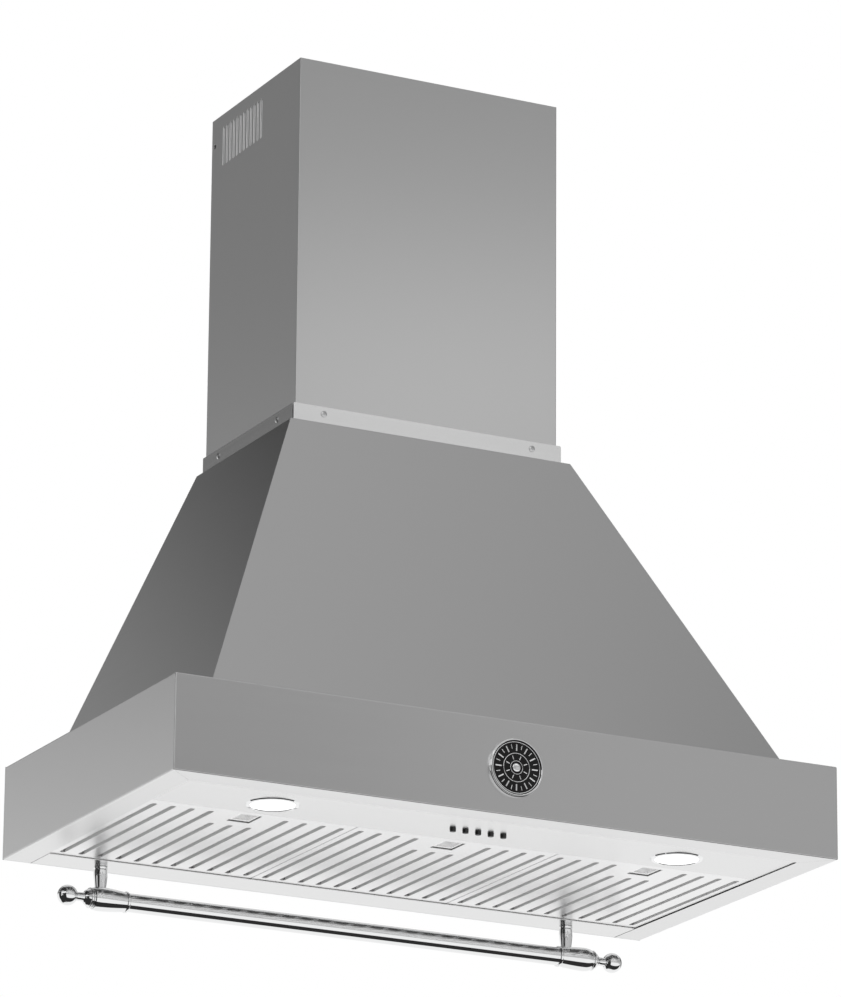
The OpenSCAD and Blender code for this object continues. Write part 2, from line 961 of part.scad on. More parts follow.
module chimney_seat() {
    spacer = collar_gap - 2 * loose;
    low = seat_z - sheet;
    outer_x = canopy_top_x - 1.2 * sheet;
    outer_y = canopy_top_y - 1.2 * sheet;
    inner_x = chimney_w / 2 - 16;
    inner_y = chimney_d - 16;
    color("silver")
        difference() {
            union() {
                translate([0, 0, low])
                    linear_extrude(sheet)
                        polygon(concat(three_sides(outer_x, outer_y, sheet),
                            backwards(three_sides(inner_x, inner_y, sheet))));
                translate([0, 0, seat_z])
                    linear_extrude(collar_h - 2)
                        polygon(bent(three_sides(chimney_w / 2 + loose + spacer,
                            chimney_d + loose + spacer, sheet), spacer));
            }
            collar_holes(screw_r + loose);
        }
}

// the plan of a chimney section: front, two sides and two flanges at the wall
module chimney_plan(x, y, back) {
    polygon(bent([[-x + return_w, -back], [-x, -back], [-x, -y], [x, -y],
        [x, -back], [x - return_w, -back]], sheet));
}

module chimney_vents(x) {
    for (i = [0:vent_n - 1])
        translate([-x - 1, -vent_y - i * vent_pitch, chimney_top - vent_top - vent_l / 2])
            rotate([90, 0, 90])
                linear_extrude(2 * x + 2)
                    stadium(vent_w, vent_l);
}

module chimney_lower() {
    color("silver")
        difference() {
            translate([0, 0, seat_z])
                linear_extrude(chimney_h)
                    chimney_plan(chimney_w / 2, chimney_d, 0);
            chimney_vents(chimney_w / 2);
            for (s = [-1, 1])
                translate([s * (chimney_w / 2 - sheet / 2), -10, chimney_top - 37.6])
                    rotate([0, 90, 0])
                        cylinder(r = fix_r, h = sheet + 2, center = true, $fn = 32);
            collar_holes(screw_r + loose);
        }
}

module chimney_upper() {
    low = seat_z + seat;
    color("darkgray")
        difference() {
            translate([0, 0, low])
                linear_extrude(upper_top - low)
                    chimney_plan(upper_x, upper_y, upper_back);
            chimney_vents(upper_x);
            for (s = [-1, 1])
                translate([s * (upper_x - sheet / 2), -upper_back - upper_screw_y,
                    bracket_top - bracket_h / 2])
                    rotate([0, 90, 0])
                        cylinder(r = upper_screw_r + loose, h = sheet + 2, center = true, $fn = 24);
        }
}

module upper_bracket() {
    x = upper_x - sheet;
    y = upper_back + sheet;
    base = upper_x - return_w - 3;
    line = [[-x, -bracket_tab], [-x, -y], [-base, -y], [-base, 0],
        [base, 0], [base, -y], [x, -y], [x, -bracket_tab]];
    color("silver")
        difference() {
            translate([0, 0, bracket_top - bracket_h])
                linear_extrude(bracket_h)
                    polygon(bent(line, -bracket_t));
            for (s = [-1, 1]) {
                translate([s * bracket_bolt_x, 1, bracket_top - bracket_h / 2])
                    rotate([90, 0, 0])
                        cylinder(r = bracket_bolt_r, h = bracket_t + 2, $fn = 32);
                translate([s * (x - bracket_t / 2), -upper_back - upper_screw_y,
                    bracket_top - bracket_h / 2])
                    rotate([0, 90, 0])
                        cylinder(r = upper_screw_r + loose, h = bracket_t + 2, center = true, $fn = 24);
            }
        }
}

module upper_screws() {
    x = upper_x - sheet - bracket_t;
    color("gainsboro")
        both_sides()
            translate([x, -upper_back - upper_screw_y, bracket_top - bracket_h / 2])
                rotate([0, -90, 0]) {
                    translate([0, 0, -bracket_t - sheet])
                        cylinder(r = upper_screw_r, h = bracket_t + sheet, $fn = 24);
                    cylinder(r = upper_nut_r, h = 2.2, $fn = 6);
                }
}

module badge_bezel() {
    color("silver")
        translate([0, -hood_d, badge_z])
            rotate([90, 0, 0])
                rotate_extrude($fn = 96)
                    polygon([[badge_r, 0], [badge_r + 2, 0], [badge_r + 2, badge_h * 0.4],
                        [badge_r + 1.4, badge_h * 0.6], [badge_r + 1.4, badge_h - 0.5],
                        [badge_r + 0.9, badge_h], [badge_r - 0.3, badge_h],
                        [badge_r - 0.8, badge_h - 0.5], [badge_r - 0.8, badge_h - 1.4],
                        [badge_r, badge_h - 1.4]]);
}

module badge_disc() {
    color("black")
        translate([0, -hood_d, badge_z])
            rotate([90, 0, 0])
                cylinder(r = badge_r - 0.1, h = badge_h - 1.5, $fn = 96);
}

module rail_posts() {
    back_gap = rail_y - post_y;
    color("silver")
        both_sides()
            translate([post_x, -post_y, 0]) {
                rotate_extrude()
                    polygon([[0, 0], [post_r, 0], [post_r, -2], [post_r - 0.6, -3.2],
                        [post_r, -4.6], [post_r, -12], [post_foot_r, -rail_drop + 12],
                        [post_foot_r, -rail_drop - 5], [post_foot_r - 2, -rail_drop - 7],
                        [0, -rail_drop - 7]]);
                cylinder(r = stud_r, h = sheet + 8, $fn = 32);
                translate([0, 0, -rail_drop])
                    rotate([90, 0, 0])
                        cylinder(r = arm_r, h = back_gap - sleeve_r + 2.8, $fn = 32);
            }
}

module rail_nuts() {
    color("gainsboro")
        both_sides()
            translate([post_x, -post_y, sheet])
                difference() {
                    union() {
                        cylinder(r = washer_r, h = washer_t, $fn = 32);
                        translate([0, 0, washer_t])
                            cylinder(r = nut_r, h = nut_t, $fn = 6);
                    }
                    translate([0, 0, -1])
                        cylinder(r = stud_r + 0.1, h = washer_t + nut_t + 2, $fn = 32);
                }
}

module at_rail() {
    translate([0, -rail_y, -rail_drop])
        rotate([0, 90, 0])
            children();
}

module rail_tube() {
    color("gainsboro")
        at_rail()
            difference() {
                cylinder(r = tube_r, h = tube_l, center = true);
                cylinder(r = tube_r - tube_wall, h = tube_l + 2, center = true);
            }
}

// a sleeve's radius at a share s of its length, from its inner end
function sleeve_at(s) = tube_r + 0.7 + (sleeve_r - tube_r - 0.7) * sin(min(1, s * 1.25) * 90)
    - 1.3 * pow(max(0, s - 0.8) / 0.2, 2);

module rail_sleeves() {
    ring = 4;
    long = finial_x - sleeve_in - ring;
    spigot = 14;
    color("gainsboro")
        both_sides()
            difference() {
                at_rail()
                    rotate_extrude($fn = 96)
                        polygon(concat([[0, sleeve_in - spigot],
                            [tube_r - tube_wall - 0.1, sleeve_in - spigot],
                            [tube_r - tube_wall - 0.1, sleeve_in], [tube_r + 1, sleeve_in],
                            [tube_r + 1.4, sleeve_in + ring / 2], [tube_r + 1, sleeve_in + ring]],
                            [for (k = [0:24]) [sleeve_at(k / 24), sleeve_in + ring + long * k / 24]],
                            [[0, finial_x]]));
                translate([post_x, -rail_y + sleeve_r - 3, -rail_drop])
                    rotate([-90, 0, 0])
                        cylinder(r = arm_r + loose, h = sleeve_r, $fn = 32);
            }
}

module rail_finials() {
    neck = 5.4;
    color("gainsboro")
        both_sides()
            at_rail() {
                rotate_extrude($fn = 96)
                    polygon([[0, finial_x], [13, finial_x], [13, finial_x + 6],
                        [12, finial_x + 7], [9, finial_x + 11], [6.5, finial_x + 13],
                        [neck, finial_x + 15], [neck, ball_x - ball_r + 3],
                        [7, ball_x - ball_r + 4], [0, ball_x - ball_r + 4]]);
                translate([0, 0, ball_x])
                    sphere(ball_r, $fn = 96);
            }
}

// a filter is drawn about its own middle, and at_filter puts it in its place
module at_filter(i) {
    translate([i * filter_pitch, 0, 0])
        children();
}

function slot_x(k) = (k - (slot_n - 1) / 2) * slot_pitch;
function is_short(k) = abs(slot_x(k)) < latch_plate_w / 2 + slot_pitch * 0.4;
function slot_start(k) = slot_front - (is_short(k) ? slot_cut : 0);

module pan_slots() {
    for (k = [0:slot_n - 1]) {
        long = slot_start(k) - slot_rear;
        translate([slot_x(k), -slot_rear - long / 2])
            stadium(slot_w, long);
    }
}

module filter_pan(i) {
    half = filter_w / 2;
    t = filter_t;
    guide_x = latch_plate_w / 2 + seat;
    guide_l = filter_front - latch_rear - 8;
    guide_h = latch_t + 2 * seat;
    color("whitesmoke")
        at_filter(i) {
            difference() {
                union() {
                    translate([0, 0, hinge_z])
                        linear_extrude(t)
                            difference() {
                                translate([-half, -filter_front])
                                    square([filter_w, filter_front - rear_d + 10]);
                                pan_slots();
                                translate([0, -latch_mid])
                                    square([latch_open_w, latch_open_l], center = true);
                            }
                    translate([0, 0, hinge_z + t])
                        linear_extrude(filter_h - t)
                            difference() {
                                translate([-half, -filter_front])
                                    square([filter_w, filter_front - filter_rear]);
                                translate([-half + t, -filter_front + t])
                                    square([filter_w - 2 * t, filter_front - filter_rear - 2 * t]);
                            }
                }
                translate([-12, -filter_front - 1, hinge_z + t])
                    cube([24, t + 2, 3]);
            }
            for (k = [0:slot_n - 1], s = [-1, 1]) {
                long = slot_start(k) - slot_rear - slot_w;
                translate([slot_x(k) + s * (slot_w / 2 + t / 2) - t / 2,
                    -slot_rear - slot_w / 2 - long, hinge_z + t])
                    cube([t, long, slot_lip]);
            }
            for (s = [0, 1])
                mirror([s, 0, 0])
                    translate([guide_x, -filter_front + 4, hinge_z + t])
                        rotate([90, 0, 180])
                            linear_extrude(guide_l)
                                polygon(bent([[0, 0], [0, guide_h], [3, guide_h]], t));
        }
}

module filter_baffles(i) {
    t = 0.8;
    low = hinge_z + filter_t + slot_lip - 1.2;
    top = filter_top - 1.6;
    front = filter_front - filter_t - loose;
    rear = filter_rear + filter_t + loose;
    color("gray")
        at_filter(i) {
            for (k = [0:slot_n - 1]) {
                far = is_short(k) ? latch_rear : front;
                translate([slot_x(k), 0, 0])
                    along_y(-far, -rear)
                        polygon(bent([[-baffle_w / 2, low], [-baffle_w / 2, top],
                            [baffle_w / 2, top], [baffle_w / 2, low]], -t));
            }
            for (y = [rear, rear + 0.46 * (front - rear), rear + 0.74 * (front - rear)])
                translate([-filter_w / 2 + filter_t + loose, -y - 12, top])
                    cube([filter_w - 2 * (filter_t + loose), 12, 1]);
        }
}

module filter_latch(i) {
    t = latch_t;
    front = filter_front - 4;
    color("silver")
        at_filter(i)
            translate([0, 0, latch_z]) {
                difference() {
                    union() {
                        translate([-latch_plate_w / 2, -front, 0])
                            cube([latch_plate_w, front - latch_rear - latch_travel - seat, t]);
                        translate([-pocket_w / 2 - t, -pocket_mid - pocket_l / 2 - t, 0])
                            cube([pocket_w + 2 * t, pocket_l + 2 * t, pocket_h + t]);
                    }
                    translate([-pocket_w / 2, -pocket_mid - pocket_l / 2, -1])
                        cube([pocket_w, pocket_l, pocket_h + 1]);
                }
                translate([-11, -filter_front - seat, 0])
                    cube([22, 4 + seat, t]);
            }
}

module filter_pan_left() { filter_pan(-1); }
module filter_pan_centre() { filter_pan(0); }
module filter_pan_right() { filter_pan(1); }
module filter_baffles_left() { filter_baffles(-1); }
module filter_baffles_centre() { filter_baffles(0); }
module filter_baffles_right() { filter_baffles(1); }
module filter_latch_left() { filter_latch(-1); }
module filter_latch_centre() { filter_latch(0); }
module filter_latch_right() { filter_latch(1); }
module button_1() { push_button(0); }
module button_2() { push_button(1); }
module button_3() { push_button(2); }
module button_4() { push_button(3); }
module button_5() { push_button(4); }

front_fascia();
left_fascia();
right_fascia();
canopy_front();
canopy_left();
canopy_right();
back_panel();
rear_crosspiece();
light_panel();
lamp_bezels();
lamp_lenses();
lamp_housings();
switch_housing();
control_board();
led_driver();
junction_box();
cable_gland();
motor_capacitor();
blower_scroll();
blower_cheek_left();
blower_cheek_right();
blower_brackets();
motor();
motor_spider();
duct_collar();
chimney_seat();
chimney_lower();
collar_screws();
badge_bezel();
badge_disc();
rail_posts();
rail_nuts();
rail_tube();
rail_sleeves();
rail_finials();
impeller();
impeller_blades();
impeller_rings();
motor_shaft();
damper_flap_front();
damper_flap_rear();
chimney_upper();
upper_bracket();
upper_screws();
filter_pan_left();
filter_pan_centre();
filter_pan_right();
filter_baffles_left();
filter_baffles_centre();
filter_baffles_right();
filter_latch_left();
filter_latch_centre();
filter_latch_right();
button_1();
button_2();
button_3();
button_4();
button_5();
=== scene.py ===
"""A wall-mounted pyramid range hood: finishes, folded sheets, chrome rail, badge, studio and camera.

The scene is in metres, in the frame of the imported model: +X right, +Y to the wall, +Z up.
Sizes of pieces are written in millimetres and turned into metres as they are built.
"""

import math

import bmesh
import bpy
import numpy as np
from mathutils import Matrix, Vector


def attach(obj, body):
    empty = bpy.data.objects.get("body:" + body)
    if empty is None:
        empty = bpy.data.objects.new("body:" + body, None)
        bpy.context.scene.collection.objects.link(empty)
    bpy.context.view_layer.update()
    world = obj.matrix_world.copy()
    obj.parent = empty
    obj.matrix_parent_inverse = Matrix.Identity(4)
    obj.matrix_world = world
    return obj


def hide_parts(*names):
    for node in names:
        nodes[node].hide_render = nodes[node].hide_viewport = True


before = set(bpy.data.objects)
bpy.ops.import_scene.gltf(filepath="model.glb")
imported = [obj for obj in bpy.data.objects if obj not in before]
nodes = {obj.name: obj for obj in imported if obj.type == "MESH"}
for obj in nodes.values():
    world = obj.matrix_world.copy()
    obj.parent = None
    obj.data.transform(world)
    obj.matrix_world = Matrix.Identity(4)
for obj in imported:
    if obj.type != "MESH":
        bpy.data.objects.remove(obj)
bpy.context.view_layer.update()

MM = 0.001
TURN = 2 * math.pi
SIDES = ("left", "centre", "right")
# points of one piece that lie closer together than this, in metres, are one point
MERGE = 2e-6

# camera, below the hood and to its left, as the hood was photographed; its focal length is in pixels
CAMERA_PLACE = (-3.2622, -6.6233, -1.7700)
CAMERA_YAW = math.radians(27.086)
CAMERA_PITCH = math.radians(17.344)
CAMERA_ROLL = math.radians(0.482)
CAMERA_FOCAL = 5979.3
PICTURE_WIDTH = 841
SENSOR = 36.0
CAMERA_REACH = 100.0


def place_camera():
    """Forward is (sin yaw cos pitch, cos yaw cos pitch, sin pitch). Right and up turn by roll about it."""
    forward = np.array([math.sin(CAMERA_YAW) * math.cos(CAMERA_PITCH),
                        math.cos(CAMERA_YAW) * math.cos(CAMERA_PITCH),
                        math.sin(CAMERA_PITCH)])
    level = np.array([math.cos(CAMERA_YAW), -math.sin(CAMERA_YAW), 0.0])
    above = np.cross(level, forward)
    right = level * math.cos(CAMERA_ROLL) + above * math.sin(CAMERA_ROLL)
    up = above * math.cos(CAMERA_ROLL) - level * math.sin(CAMERA_ROLL)
    data = bpy.data.cameras.new("camera")
    data.sensor_fit = "HORIZONTAL"
    data.sensor_width = SENSOR
    data.lens = CAMERA_FOCAL * SENSOR / PICTURE_WIDTH
    data.clip_end = CAMERA_REACH
    camera = bpy.data.objects.new("camera", data)
    rows = [[right[i], up[i], -forward[i], CAMERA_PLACE[i]] for i in range(3)]
    camera.matrix_world = Matrix(rows + [[0, 0, 0, 1]])
    bpy.context.scene.collection.objects.link(camera)
    bpy.context.scene.camera = camera


place_camera()


# materials

class Wiring:
    """A node tree under construction."""

    def __init__(self, tree):
        self.tree = tree

    def node(self, kind, **settings):
        made = self.tree.nodes.new(kind)
        for key, value in settings.items():
            if key[0].isupper():
                made.inputs[key.replace("_", " ")].default_value = value
            else:
                setattr(made, key, value)
        return made

    def link(self, out, into):
        self.tree.links.new(out, into)

    def axes(self, coordinate):
        """The three parts of a texture coordinate."""
        place = self.node("ShaderNodeTexCoord")
        parts = self.node("ShaderNodeSeparateXYZ")
        self.link(place.outputs[coordinate], parts.inputs[0])
        return parts.outputs

    def spread(self, value, low, high, start=0.3, stop=0.7, way="LINEAR"):
        """Maps a value between start and stop onto low to high."""
        made = self.node("ShaderNodeMapRange", interpolation_type=way)
        for key, number in (("From Min", start), ("From Max", stop), ("To Min", low), ("To Max", high)):
            made.inputs[key].default_value = number
        self.link(value, made.inputs["Value"])
        return made.outputs["Result"]

    def math(self, operation, first, second):
        """An operation on two values, of which the second may be a plain number."""
        made = self.node("ShaderNodeMath", operation=operation)
        self.link(first, made.inputs[0])
        if isinstance(second, float):
            made.inputs[1].default_value = second
        else:
            self.link(second, made.inputs[1])
        return made.outputs[0]

    def inside(self, value, low, high, soft):
        """1 between low and high, falling to 0 over a soft margin outside each."""
        rise = self.spread(value, 0.0, 1.0, low - soft, low, "SMOOTHSTEP")
        fall = self.spread(value, 1.0, 0.0, high, high + soft, "SMOOTHSTEP")
        return self.math("MULTIPLY", rise, fall)

    def towards(self, turn, span):
        """1 where a turn in radians lies within a span of degrees."""
        return self.inside(turn, *map(math.radians, span), FLAG_SOFT)


class Paint(Wiring):
    """A node material under construction: one Principled shader and the nodes that feed it."""

    def __init__(self, name, **constants):
        self.material = bpy.data.materials.new(name)
        self.material.use_nodes = True
        super().__init__(self.material.node_tree)
        self.shader = self.tree.nodes["Principled BSDF"]
        for key, value in constants.items():
            self.shader.inputs[key.replace("_", " ")].default_value = value
        self.bump_end = None

    def stretched(self, scale):
        """Object coordinates times scale; a noise read there is drawn out where the scale is low."""
        place = self.node("ShaderNodeTexCoord")
        mapping = self.node("ShaderNodeMapping", Scale=scale)
        self.link(place.outputs["Object"], mapping.inputs["Vector"])
        return mapping.outputs["Vector"]

    def noise(self, vector, scale=1.0, detail=2.0, rough=0.5):
        made = self.node("ShaderNodeTexNoise", Scale=scale, Detail=detail, Roughness=rough)
        self.link(vector, made.inputs["Vector"])
        return made.outputs["Fac"]

    def mean(self, first, second, share=0.5):
        """first * (1 - share) + second * share."""
        made = self.node("ShaderNodeMix", data_type="FLOAT", Factor=share)
        numbers = [s for s in made.inputs if s.type == "VALUE"]
        self.link(first, numbers[1])
        self.link(second, numbers[2])
        return [s for s in made.outputs if s.type == "VALUE"][0]

    def tones(self, value, dark, light):
        made = self.node("ShaderNodeMix", data_type="RGBA")
        colours = [s for s in made.inputs if s.type == "RGBA"]
        colours[0].default_value = dark
        colours[1].default_value = light
        self.link(value, made.inputs["Factor"])
        self.link([s for s in made.outputs if s.type == "RGBA"][0], self.shader.inputs["Base Color"])

    def roughen(self, value, low, high):
        self.link(self.spread(value, low, high), self.shader.inputs["Roughness"])

    def bump(self, height, strength, distance):
        made = self.node("ShaderNodeBump", Strength=strength, Distance=distance)
        self.link(height, made.inputs["Height"])
        if self.bump_end is not None:
            self.link(self.bump_end, made.inputs["Normal"])
        self.bump_end = made.outputs["Normal"]
        self.link(self.bump_end, self.shader.inputs["Normal"])


def grey(value, warmth=0.0):
    return (value * (1 + warmth), value, value * (1 - warmth), 1.0)


# marks per metre across the brushing, fine and coarse, and along it
BRUSH_FINE = 2600.0
BRUSH_COARSE = 330.0
BRUSH_ALONG = 7.0
# marks per metre of the other finishes, along x, y and z
WIPES = (60, 60, 60)
CRYSTALS = 160.0
ZINC_CLOUDS = (90, 90, 90)
PLASTIC_CLOUDS = (35, 35, 35)
RIPPLES = (420, 420, 420)
FLOOR_CLOUDS = (0.8, 0.8, 0.8)
# depths of fine relief, in metres
BRUSH_DEPTH = 0.00006
PEBBLE_DEPTH = 0.00004
RIPPLE_DEPTH = 0.0001


def brushed(name, tone, roughness, along, contrast=0.02, strength=0.05, uneven=0.12, metal=1.0):
    """Brushed steel: noise drawn out along one or two axes, as tone, uneven roughness and fine bump."""
    paint = Paint(name, Metallic=metal, Roughness=roughness)
    fine = tuple(BRUSH_ALONG if axis in along else BRUSH_FINE for axis in "xyz")
    coarse = tuple(BRUSH_ALONG / 3 if axis in along else BRUSH_COARSE for axis in "xyz")
    streaks = paint.noise(paint.stretched(fine), detail=3.0, rough=0.6)
    bands = paint.noise(paint.stretched(coarse), detail=3.0)
    both = paint.mean(streaks, bands, 0.4)
    paint.tones(paint.spread(both, 0.0, 1.0), grey(tone * (1 - contrast)), grey(tone * (1 + contrast)))
    paint.roughen(both, roughness * (1 - uneven), roughness * (1 + uneven))
    paint.bump(streaks, strength, BRUSH_DEPTH)
    return paint.material


def polished(name, tone, roughness):
    """Chrome: bright metal with a trace of wiping marks in its roughness and tone."""
    paint = Paint(name, Metallic=1.0, Roughness=roughness)
    cloud = paint.noise(paint.stretched(WIPES), detail=3.0)
    paint.roughen(cloud, roughness * 0.6, roughness * 1.5)
    paint.tones(paint.spread(cloud, 0.0, 1.0), grey(tone * 0.985, -0.004), grey(tone * 1.01, -0.004))
    return paint.material


def galvanised(name, tone):
    """Zinc-coated sheet: flat crystals of slightly different tone."""
    paint = Paint(name, Metallic=1.0, Roughness=0.42)
    cells = paint.node("ShaderNodeTexVoronoi", Scale=CRYSTALS)
    paint.link(paint.stretched((1, 1, 1)), cells.inputs["Vector"])
    paint.tones(cells.outputs["Color"], grey(tone * 0.86, -0.02), grey(tone * 1.1, -0.02))
    paint.roughen(paint.noise(paint.stretched(ZINC_CLOUDS)), 0.36, 0.5)
    return paint.material


def moulded(name, dark, light, roughness, grain=2200.0, strength=0.1, **constants):
    """Moulded plastic, paint or enamel: a cloudy tone and a fine pebbled grain."""
    paint = Paint(name, Roughness=roughness, **constants)
    cloud = paint.noise(paint.stretched(PLASTIC_CLOUDS), detail=4.0)
    paint.tones(paint.spread(cloud, 0.0, 1.0), dark, light)
    paint.roughen(cloud, roughness * 0.9, roughness * 1.1)
    paint.bump(paint.noise(paint.stretched((grain,) * 3), detail=1.0), strength, PEBBLE_DEPTH)
    return paint.material


def opal_lens():
    """Opal lamp lens that glows evenly, a little less at its moulded ripples."""
    paint = Paint("opal_lens", Roughness=0.28, Emission_Strength=1.0)
    ripple = paint.noise(paint.stretched(RIPPLES), detail=2.0)
    paint.tones(paint.spread(ripple, 0.0, 1.0), grey(0.9), grey(0.96))
    paint.shader.inputs["Emission Color"].default_value = (1.0, 1.0, 1.0, 1.0)
    paint.bump(ripple, 0.08, RIPPLE_DEPTH)
    return paint.material


steel_band = brushed("steel_band", 0.59, 0.25, "xy", contrast=0.012, strength=0.03, uneven=0.08)
steel_slope = brushed("steel_slope", 0.56, 0.22, "xy", contrast=0.010, strength=0.03)
steel_upright = brushed("steel_upright", 0.565, 0.28, "z", contrast=0.001, strength=0.003, uneven=0.02)
steel_side = brushed("steel_side", 0.555, 0.20, "xy", contrast=0.010, strength=0.03)
# painted light and shade: the collar's front is lighter and its sides darker than the slope's steel
collar_front_painted_light = brushed("collar_front_painted_light", 0.67, 0.24, "xy", contrast=0.02, strength=0.06)
collar_side_painted_shade = brushed("collar_side_painted_shade", 0.42, 0.24, "xy", contrast=0.02, strength=0.06)
# painted light: the rim, facing the floor, is painted far lighter than the band's steel
rim_painted_light = brushed("rim_painted_light", 0.83, 0.36, "xy", contrast=0.005, strength=0.012, uneven=0.05)
# painted shade: cut edges near black, standing in for the shade at the rim's edge and joints
cut_edge_painted_shade = brushed("cut_edge_painted_shade", 0.10, 0.45, "xy", contrast=0.1, metal=0.6)
# painted light: the panel and crosspiece under the hood, lighter than the band's steel
underside_painted_light = brushed("underside_painted_light", 0.77, 0.24, "xy", contrast=0.006, strength=0.012, uneven=0.05)
# painted light: the filters, painted lighter than the hood's steel
filter_painted_light = brushed("filter_painted_light", 0.91, 0.32, "y", contrast=0.004, strength=0.008, uneven=0.04)
# painted light: matt pale slot walls that stand in for the light reaching them
slot_wall_painted_light = brushed("slot_wall_painted_light", 0.70, 0.50, "y", contrast=0.01, metal=0.0)
# painted light: near-white matt baffles and latch pockets, lightening the recesses
channel_painted_light = brushed("channel_painted_light", 0.98, 0.50, "y", contrast=0.01, metal=0.0)
# painted light: pale matt vent edges
vent_edge_painted_light = brushed("vent_edge_painted_light", 0.85, 0.45, "xy", contrast=0.02, metal=0.1)
# painted light: the latches, painted lighter than the hood's steel
latch_painted_light = brushed("latch_painted_light", 0.95, 0.20, "y", contrast=0.01, strength=0.02)
chrome = polished("chrome_plate", 0.84, 0.035)
screw_steel = polished("screw_steel", 0.55, 0.22)
zinc = galvanised("zinc_coat", 0.55)
alloy = brushed("alloy_turned", 0.70, 0.34, "x", contrast=0.03)
lens_white = opal_lens()
plastic_dark = moulded("plastic_dark", grey(0.040), grey(0.060), 0.55)
plastic_white = moulded("plastic_white", grey(0.74, 0.01), grey(0.82, 0.01), 0.45)
board_green = moulded("board_green", (0.012, 0.11, 0.045, 1), (0.02, 0.17, 0.07, 1), 0.4)
motor_paint = moulded("motor_paint", grey(0.075), grey(0.11), 0.42, Coat_Weight=0.3, Coat_Roughness=0.06)
button_black = moulded("button_black", grey(0.008), grey(0.014), 0.22, strength=0.02)
enamel_black = moulded("enamel_black", grey(0.006), grey(0.010), 0.25, strength=0.02,
                       Specular_IOR_Level=0.2)


def finish(material, *names):
    """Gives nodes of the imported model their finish."""
    for name in names:
        mesh = nodes[name].data
        mesh.materials.clear()
        mesh.materials.append(material)


finish(steel_band, "front_fascia", "left_fascia", "right_fascia")
finish(steel_slope, "canopy_front")
finish(steel_side, "canopy_left", "canopy_right")
finish(steel_upright, "chimney_lower", "chimney_upper")
finish(underside_painted_light, "light_panel", "rear_crosspiece")
finish(filter_painted_light, *["filter_pan_" + s for s in SIDES])
finish(latch_painted_light, *["filter_latch_" + s for s in SIDES])
finish(channel_painted_light, *["filter_baffles_" + s for s in SIDES])
finish(zinc, "back_panel", "junction_box", "blower_scroll", "blower_cheek_left", "blower_cheek_right",
       "blower_brackets", "motor_spider", "chimney_seat", "upper_bracket")
finish(alloy, "impeller", "impeller_blades", "impeller_rings", "lamp_housings", "motor_shaft")
finish(chrome, "lamp_bezels", "badge_bezel", "rail_tube", "rail_sleeves", "rail_finials", "rail_posts",
       "rail_nuts")
finish(screw_steel, "collar_screws", "upper_screws")
finish(lens_white, "lamp_lenses")
finish(plastic_dark, "switch_housing", "cable_gland", "duct_collar", "damper_flap_front",
       "damper_flap_rear")
finish(plastic_white, "led_driver", "motor_capacitor")
finish(board_green, "control_board")
finish(motor_paint, "motor")
finish(enamel_black, "badge_disc")
finish(button_black, *["button_%d" % i for i in range(1, 6)])


# surfaces

# any direction that no turned piece has as its axis
ASIDE = (0.0, 0.6, 0.8)
# the largest share of an arm that an eased corner takes
ARM_SHARE = 0.42
# an edge that turns by more than FOLD is a fold or a cut edge; faces that turn by less than FLAT are one
FOLD = math.radians(24)
FLAT = math.radians(0.5)
# a face is narrow, as a sheet's cut edge is, if its area over its perimeter is below this, in mm
NARROW = 1.2


def grid_faces(rows, cols, around=False):
    """Quads (i, j), (i, j+1), (i+1, j+1), (i+1, j) of a grid of points, with i the row and j the column.
    around joins its last column to its first."""
    i, j = np.meshgrid(np.arange(rows - 1), np.arange(cols if around else cols - 1), indexing="ij")
    k = (j + 1) % cols
    row, after = i * cols, (i + 1) * cols
    return np.stack([row + j, row + k, after + k, after + j], -1).reshape(-1, 4)


def joined(*parts):
    """Several (points, faces) pairs as one."""
    starts = np.cumsum([0] + [len(points) for points, _ in parts])
    points = np.concatenate([points for points, _ in parts])
    faces = [[index + start for index in face] for start, (_, own) in zip(starts, parts) for face in own]
    return points, faces


def eased(profile, reach, steps=4):
    """Each inner corner P is cut back by reach along both arms and bridged by a parabola:
    A(1-t)^2 + 2Pt(1-t) + Bt^2, where A and B are the cut-back points."""
    p = np.asarray(profile, float)
    t = np.linspace(0, 1, steps + 1)[:, None]
    rows = [p[:1]]
    for before, corner, after in zip(p[:-2], p[1:-1], p[2:]):
        arms = [before - corner, after - corner]
        lengths = [np.linalg.norm(arm) for arm in arms]
        cuts = [corner + arm * min(reach / length, ARM_SHARE) for arm, length in zip(arms, lengths)]
        rows.append(cuts[0] * (1 - t) ** 2 + 2 * corner * t * (1 - t) + cuts[1] * t ** 2)
    rows.append(p[-1:])
    return np.concatenate(rows)


def turned(profile, centre, axis, count=96):
    """Surface of revolution: centre + h axis + r (cos u side + sin u up), for profile points (r, h)."""
    r, h = np.asarray(profile, float).T
    axis = np.asarray(axis, float)
    side = np.cross(axis, ASIDE)
    side /= np.linalg.norm(side)
    up = np.cross(axis, side)
    u = np.arange(count) * TURN / count
    spoke = np.cos(u)[:, None] * side + np.sin(u)[:, None] * up
    points = np.asarray(centre, float) + h[:, None, None] * axis + r[:, None, None] * spoke
    return points.reshape(-1, 3), grid_faces(len(r), count, around=True)


def add_piece(name, shape, material, body="hood", stands_for=(), crease=32.0, closed=True):
    """Makes a piece from (points in mm, faces) and merges points that lie together, as at its poles."""
    points, faces = shape
    mesh = bpy.data.meshes.new(name)
    mesh.from_pydata((np.asarray(points) * MM).tolist(), [], [list(map(int, face)) for face in faces])
    work = bmesh.new()
    work.from_mesh(mesh)
    bmesh.ops.remove_doubles(work, verts=work.verts, dist=MERGE)
    bmesh.ops.dissolve_degenerate(work, edges=work.edges, dist=MERGE / 2)
    if closed:
        bmesh.ops.recalc_face_normals(work, faces=work.faces)
    work.to_mesh(mesh)
    work.free()
    mesh.materials.append(material)
    mesh.shade_smooth()
    mesh.set_sharp_from_angle(angle=math.radians(crease))
    piece = bpy.data.objects.new(name, mesh)
    bpy.context.scene.collection.objects.link(piece)
    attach(piece, body)
    if stands_for:
        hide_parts(*stands_for)
    return piece


